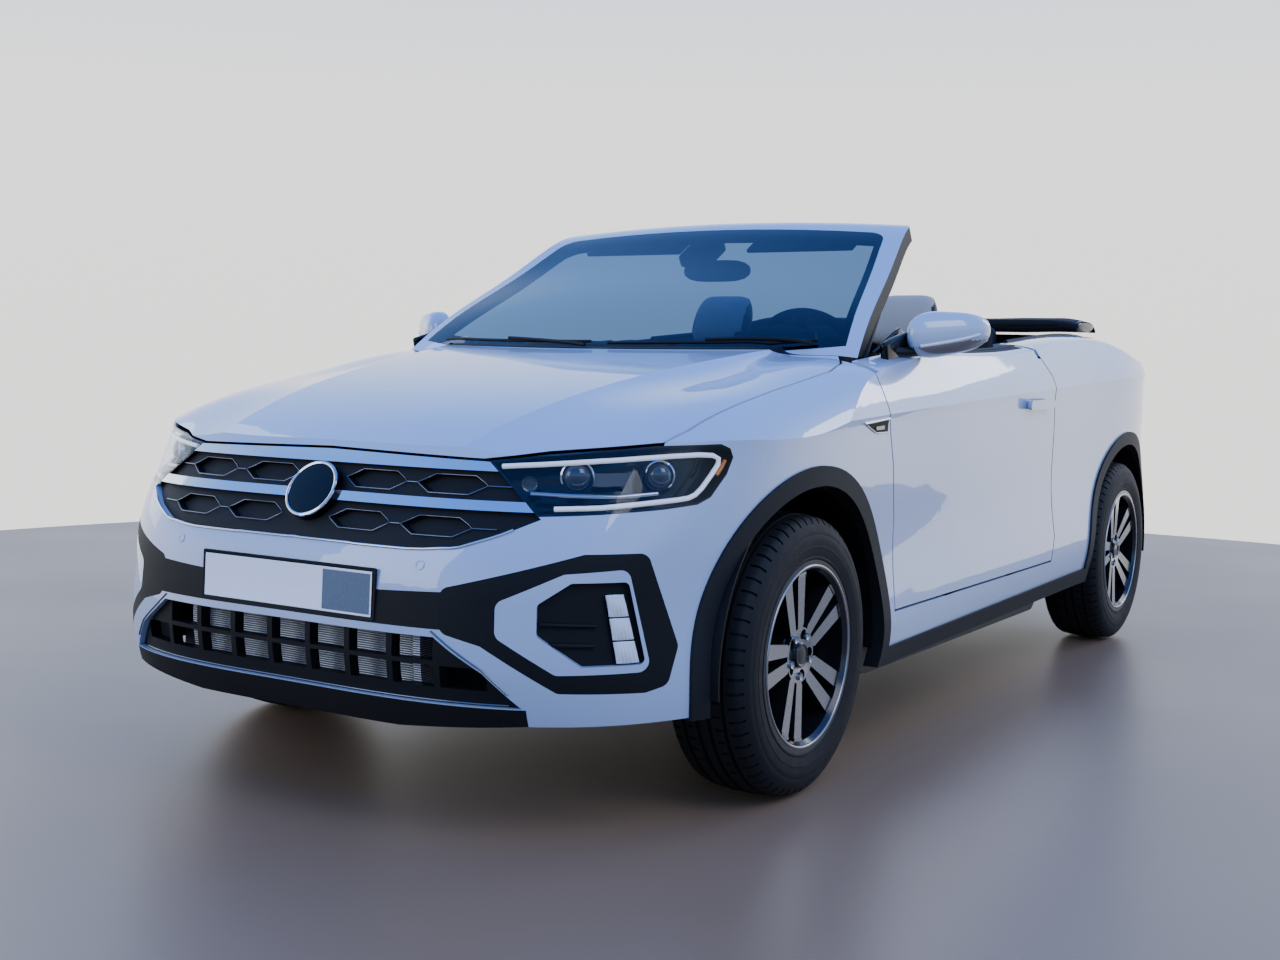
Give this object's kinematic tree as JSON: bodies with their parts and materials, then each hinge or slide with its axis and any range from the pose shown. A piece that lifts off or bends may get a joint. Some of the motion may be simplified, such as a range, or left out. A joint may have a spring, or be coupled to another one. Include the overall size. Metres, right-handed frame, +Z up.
{
  "type": "open-top compact suv",
  "caption": "Open two-door compact SUV with a folded fabric roof, opening doors, bonnet and boot lid, steered front wheels and free-turning wheels.",
  "frame": {"origin": "on the ground, under the middle of the car's bounding box", "axes": "+X forward along the car, +Y to the car's left, +Z up"},
  "size_m": [4.2603, 1.9806, 1.4568],
  "materials": {
    "paint": "gloss white",
    "paint_plastic": "gloss white",
    "black_gloss": "gloss",
    "black_matte": "grained",
    "lamp_lens": "clear",
    "lamp_red": "gloss",
    "screen_glass": "clear",
    "steel": "satin",
    "iron": "raw",
    "alloy": "machined",
    "tyre": "matte",
    "dash": "grained",
    "seat": "woven",
    "roof_cloth": "woven",
    "bright": "polished",
    "bare_metal": "raw"
  },
  "bodies": {
    "body": {"fender_left": "paint", "fender_right": "paint", "front_bumper": "paint_plastic", "body_side_left": "paint", "body_side_right": "paint", "tail_lamps": "lamp_red", "rear_bumper": "paint_plastic", "rear_deck": "black_matte", "cowl": "black_matte", "headlamp_lenses": "lamp_lens", "headlamps": "black_gloss", "upper_grille": "black_gloss", "lower_grille": "black_matte", "front_lip": "black_matte", "bumper_trim": "black_gloss", "bumper_rings": "paint_plastic", "fog_panels": "black_matte", "claddings": "black_matte", "windscreen": "screen_glass", "windscreen_frame": "paint", "floor_pan": "steel", "wheel_liners": "black_matte", "engine_block": "iron", "front_subframe": "steel", "rear_axle": "steel", "dashboard": "dash", "centre_console": "dash", "front_seat_left": "seat", "front_seat_right": "seat", "rear_seat": "seat", "soft_top": "roof_cloth", "steering_column": "dash", "grille_bars": "bright", "radiator": "bare_metal", "exhaust": "bare_metal"},
    "hood": {"hood": "paint"},
    "trunk_lid": {"trunk_lid": "paint"},
    "door_left": {"door_left": "paint", "mirror_left": "paint_plastic"},
    "door_right": {"door_right": "paint", "mirror_right": "paint_plastic"},
    "knuckle_left": {"knuckle_left": "iron"},
    "knuckle_right": {"knuckle_right": "iron"},
    "steering_wheel": {"steering_wheel": "dash"},
    "wheel_front_left": {"tyre_front_left": "tyre", "rim_front_left": "alloy"},
    "wheel_front_right": {"tyre_front_right": "tyre", "rim_front_right": "alloy"},
    "wheel_rear_left": {"tyre_rear_left": "tyre", "rim_rear_left": "alloy"},
    "wheel_rear_right": {"tyre_rear_right": "tyre", "rim_rear_right": "alloy"}
  },
  "joints": [
    {"name": "hood_hinge", "type": "hinge", "parent": "body", "child": "hood", "pos_m": [0.832, 0, 1.074], "axis": [0, -1, 0], "range_deg": [0, 48]},
    {"name": "trunk_lid_hinge", "type": "hinge", "parent": "body", "child": "trunk_lid", "pos_m": [-1.49, 0, 1.14], "axis": [0, 1, 0], "range_deg": [0, 75]},
    {"name": "door_left_hinge", "type": "hinge", "parent": "body", "child": "door_left", "pos_m": [0.83, 0.893, 0.7], "axis": [0, 0, -1], "range_deg": [0, 65]},
    {"name": "door_right_hinge", "type": "hinge", "parent": "body", "child": "door_right", "pos_m": [0.83, -0.893, 0.7], "axis": [0, 0, 1], "range_deg": [0, 65]},
    {"name": "steer_left", "type": "hinge", "parent": "body", "child": "knuckle_left", "pos_m": [1.306, 0.7, 0.334], "axis": [0, 0, 1], "range_deg": [-33, 33]},
    {"name": "steer_right", "type": "hinge", "parent": "body", "child": "knuckle_right", "pos_m": [1.306, -0.7, 0.334], "axis": [0, 0, 1], "range_deg": [-34, 34]},
    {"name": "steering_wheel_turn", "type": "hinge", "parent": "body", "child": "steering_wheel", "pos_m": [0.345, 0.37, 0.985], "axis": [-0.9432, 0, 0.3321], "range_deg": [-480, 480]},
    {"name": "spin_front_left", "type": "hinge", "parent": "knuckle_left", "child": "wheel_front_left", "pos_m": [1.306, 0.773, 0.334], "axis": [0, 1, 0], "continuous": true},
    {"name": "spin_front_right", "type": "hinge", "parent": "knuckle_right", "child": "wheel_front_right", "pos_m": [1.306, -0.773, 0.334], "axis": [0, 1, 0], "continuous": true},
    {"name": "spin_rear_left", "type": "hinge", "parent": "body", "child": "wheel_rear_left", "pos_m": [-1.324, 0.773, 0.334], "axis": [0, 1, 0], "continuous": true},
    {"name": "spin_rear_right", "type": "hinge", "parent": "body", "child": "wheel_rear_right", "pos_m": [-1.324, -0.773, 0.334], "axis": [0, 1, 0], "continuous": true}
  ],
  "couplings": [
    {"joint": "steer_right", "follows": "steer_left", "ratio": 1},
    {"joint": "steering_wheel_turn", "follows": "steer_left", "ratio": 14}
  ]
}
